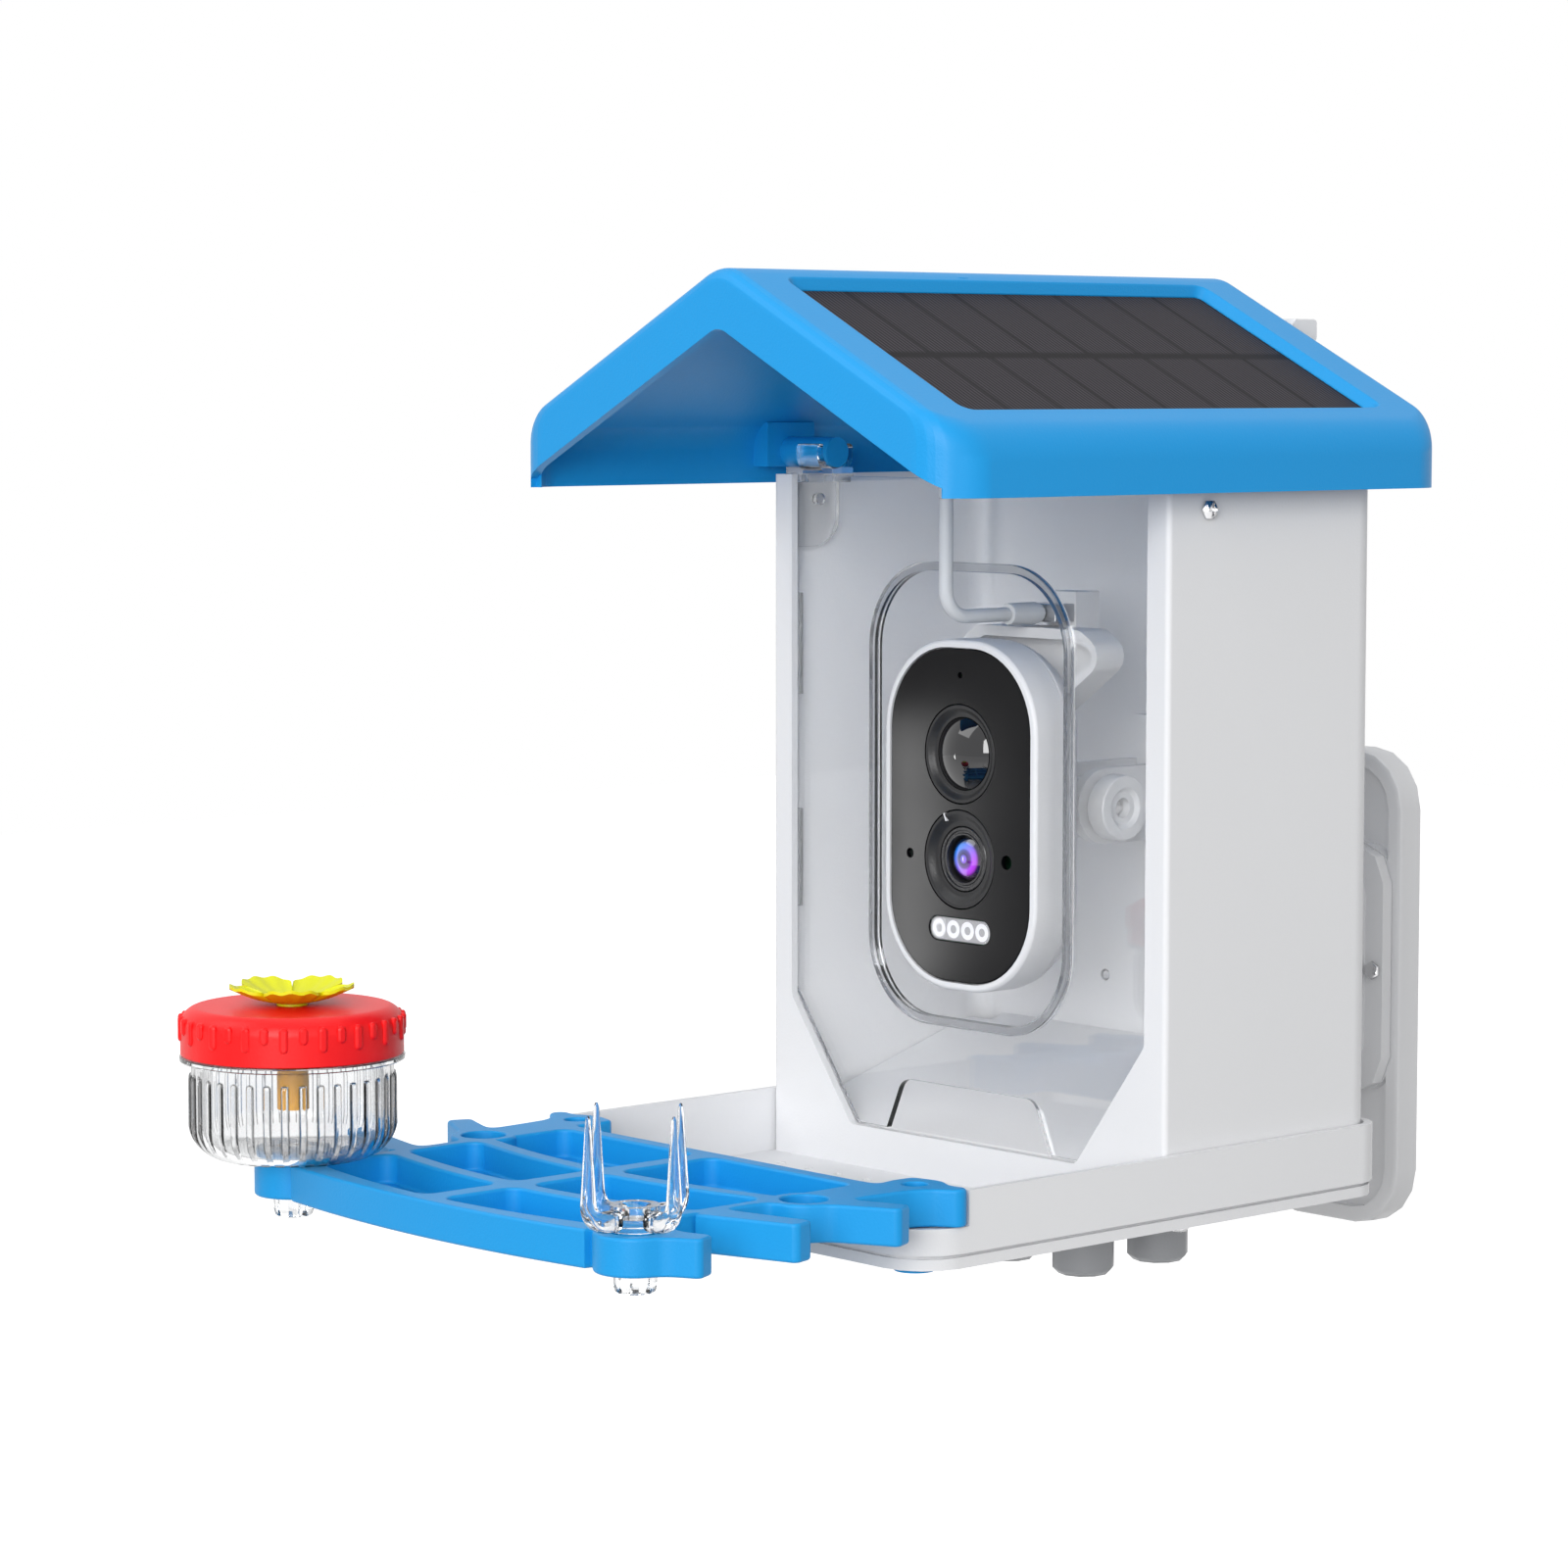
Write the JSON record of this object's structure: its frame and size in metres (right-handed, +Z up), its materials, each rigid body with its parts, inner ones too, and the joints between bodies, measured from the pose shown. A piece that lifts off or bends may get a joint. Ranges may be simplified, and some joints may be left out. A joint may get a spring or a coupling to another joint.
{
  "type": "bird feeder",
  "caption": "House-shaped seed feeder with a clear front, a camera, a hinged solar roof, a seed tray with a lift-off perch, a nectar jar, a fruit claw and a wall arm.",
  "frame": {"origin": "the middle of the wall plate's back face, which lies on the wall", "axes": "+Z up, +Y into the wall, so the feeder's front looks along -Y; +X to the right seen from the front"},
  "size_m": [0.1954, 0.376, 0.2874],
  "materials": {
    "white_plastic": "satin moulded, near-white",
    "blue_plastic": "satin moulded, sky blue",
    "clear_plastic": "polished clear moulding",
    "glossy_black": "high gloss black",
    "satin_grey": "satin dark grey",
    "lens_glass": "coated, blue to violet reflection",
    "solar_cells": "dark cells under a clear satin film",
    "pale_rubber": "matt, pale grey",
    "red_plastic": "satin red",
    "yellow_plastic": "satin yellow",
    "grey_plastic": "satin mid grey",
    "steel": "bright, plated",
    "board": "solder-masked board"
  },
  "bodies": {
    "house": {"wall_plate": "white_plastic", "mount_arm": "white_plastic", "house_shell": "white_plastic", "seed_ramp": "white_plastic", "tray_base": "white_plastic", "clear_window": "clear_plastic", "window_screw_right": "steel", "window_screw_left": "steel", "tray_screw_1": "steel", "tray_screw_2": "steel", "tray_screw_3": "steel", "tray_screw_4": "steel", "bracket_base": "white_plastic", "tilt_bolt": "steel", "tilt_nut": "steel", "pole_flange": "grey_plastic", "flange_screw_1": "steel", "flange_screw_2": "steel", "flange_screw_3": "steel", "flange_screw_4": "steel", "arm_screw_house_1": "steel", "arm_screw_house_2": "steel", "arm_screw_plate_1": "steel", "arm_screw_plate_2": "steel", "solar_cable_drop": "pale_rubber", "solar_cable_elbow": "pale_rubber"},
    "roof": {"roof_shell": "blue_plastic", "solar_panel": "solar_cells", "cable_gland": "pale_rubber", "roof_lift_tab": "white_plastic"},
    "camera": {"camera_shell": "white_plastic", "camera_face": "glossy_black", "pir_ring": "satin_grey", "pir_lens": "glossy_black", "lens_ring": "satin_grey", "lens_barrel": "glossy_black", "camera_lens": "lens_glass", "led_window": "clear_plastic", "camera_back": "white_plastic", "camera_board": "board", "battery_cell": "steel", "camera_screw": "steel", "camera_yoke": "white_plastic", "usb_boot": "pale_rubber", "usb_plug": "steel"},
    "knob": {"tilt_knob": "white_plastic"},
    "perch": {"perch_tray": "blue_plastic"},
    "jar": {"nectar_jar": "clear_plastic", "jar_seal": "pale_rubber"},
    "lid": {"jar_lid": "red_plastic", "flower_port": "yellow_plastic"},
    "claw": {"fruit_claw": "clear_plastic"}
  },
  "joints": [
    {"name": "roof_open", "type": "hinge", "parent": "house", "child": "roof", "pos_m": [0, -0.1567, 0.1635], "axis": [1, 0, 0], "range_deg": [0, 60], "deforming": ["solar_cable_drop"]},
    {"name": "camera_tilt", "type": "hinge", "parent": "house", "child": "camera", "pos_m": [0, -0.1163, 0.062], "axis": [1, 0, 0], "range_deg": [-5, 5], "deforming": ["solar_cable_elbow"]},
    {"name": "knob_turn", "type": "hinge", "parent": "house", "child": "knob", "pos_m": [0.015, -0.1163, 0.062], "axis": [1, 0, 0], "continuous": true},
    {"name": "perch_lift", "type": "slide", "parent": "house", "child": "perch", "axis": [0, 0, 1], "range_m": [0, 0.03]},
    {"name": "jar_swivel", "type": "hinge", "parent": "perch", "child": "jar", "pos_m": [-0.072, -0.3453, -0.0246], "axis": [0, 0, 1], "continuous": true},
    {"name": "lid_turn", "type": "hinge", "parent": "jar", "child": "lid", "pos_m": [-0.072, -0.3453, 0.0037], "axis": [0, 0, 1], "continuous": true},
    {"name": "claw_swivel", "type": "hinge", "parent": "perch", "child": "claw", "pos_m": [0.072, -0.3453, -0.0246], "axis": [0, 0, 1], "continuous": true}
  ]
}
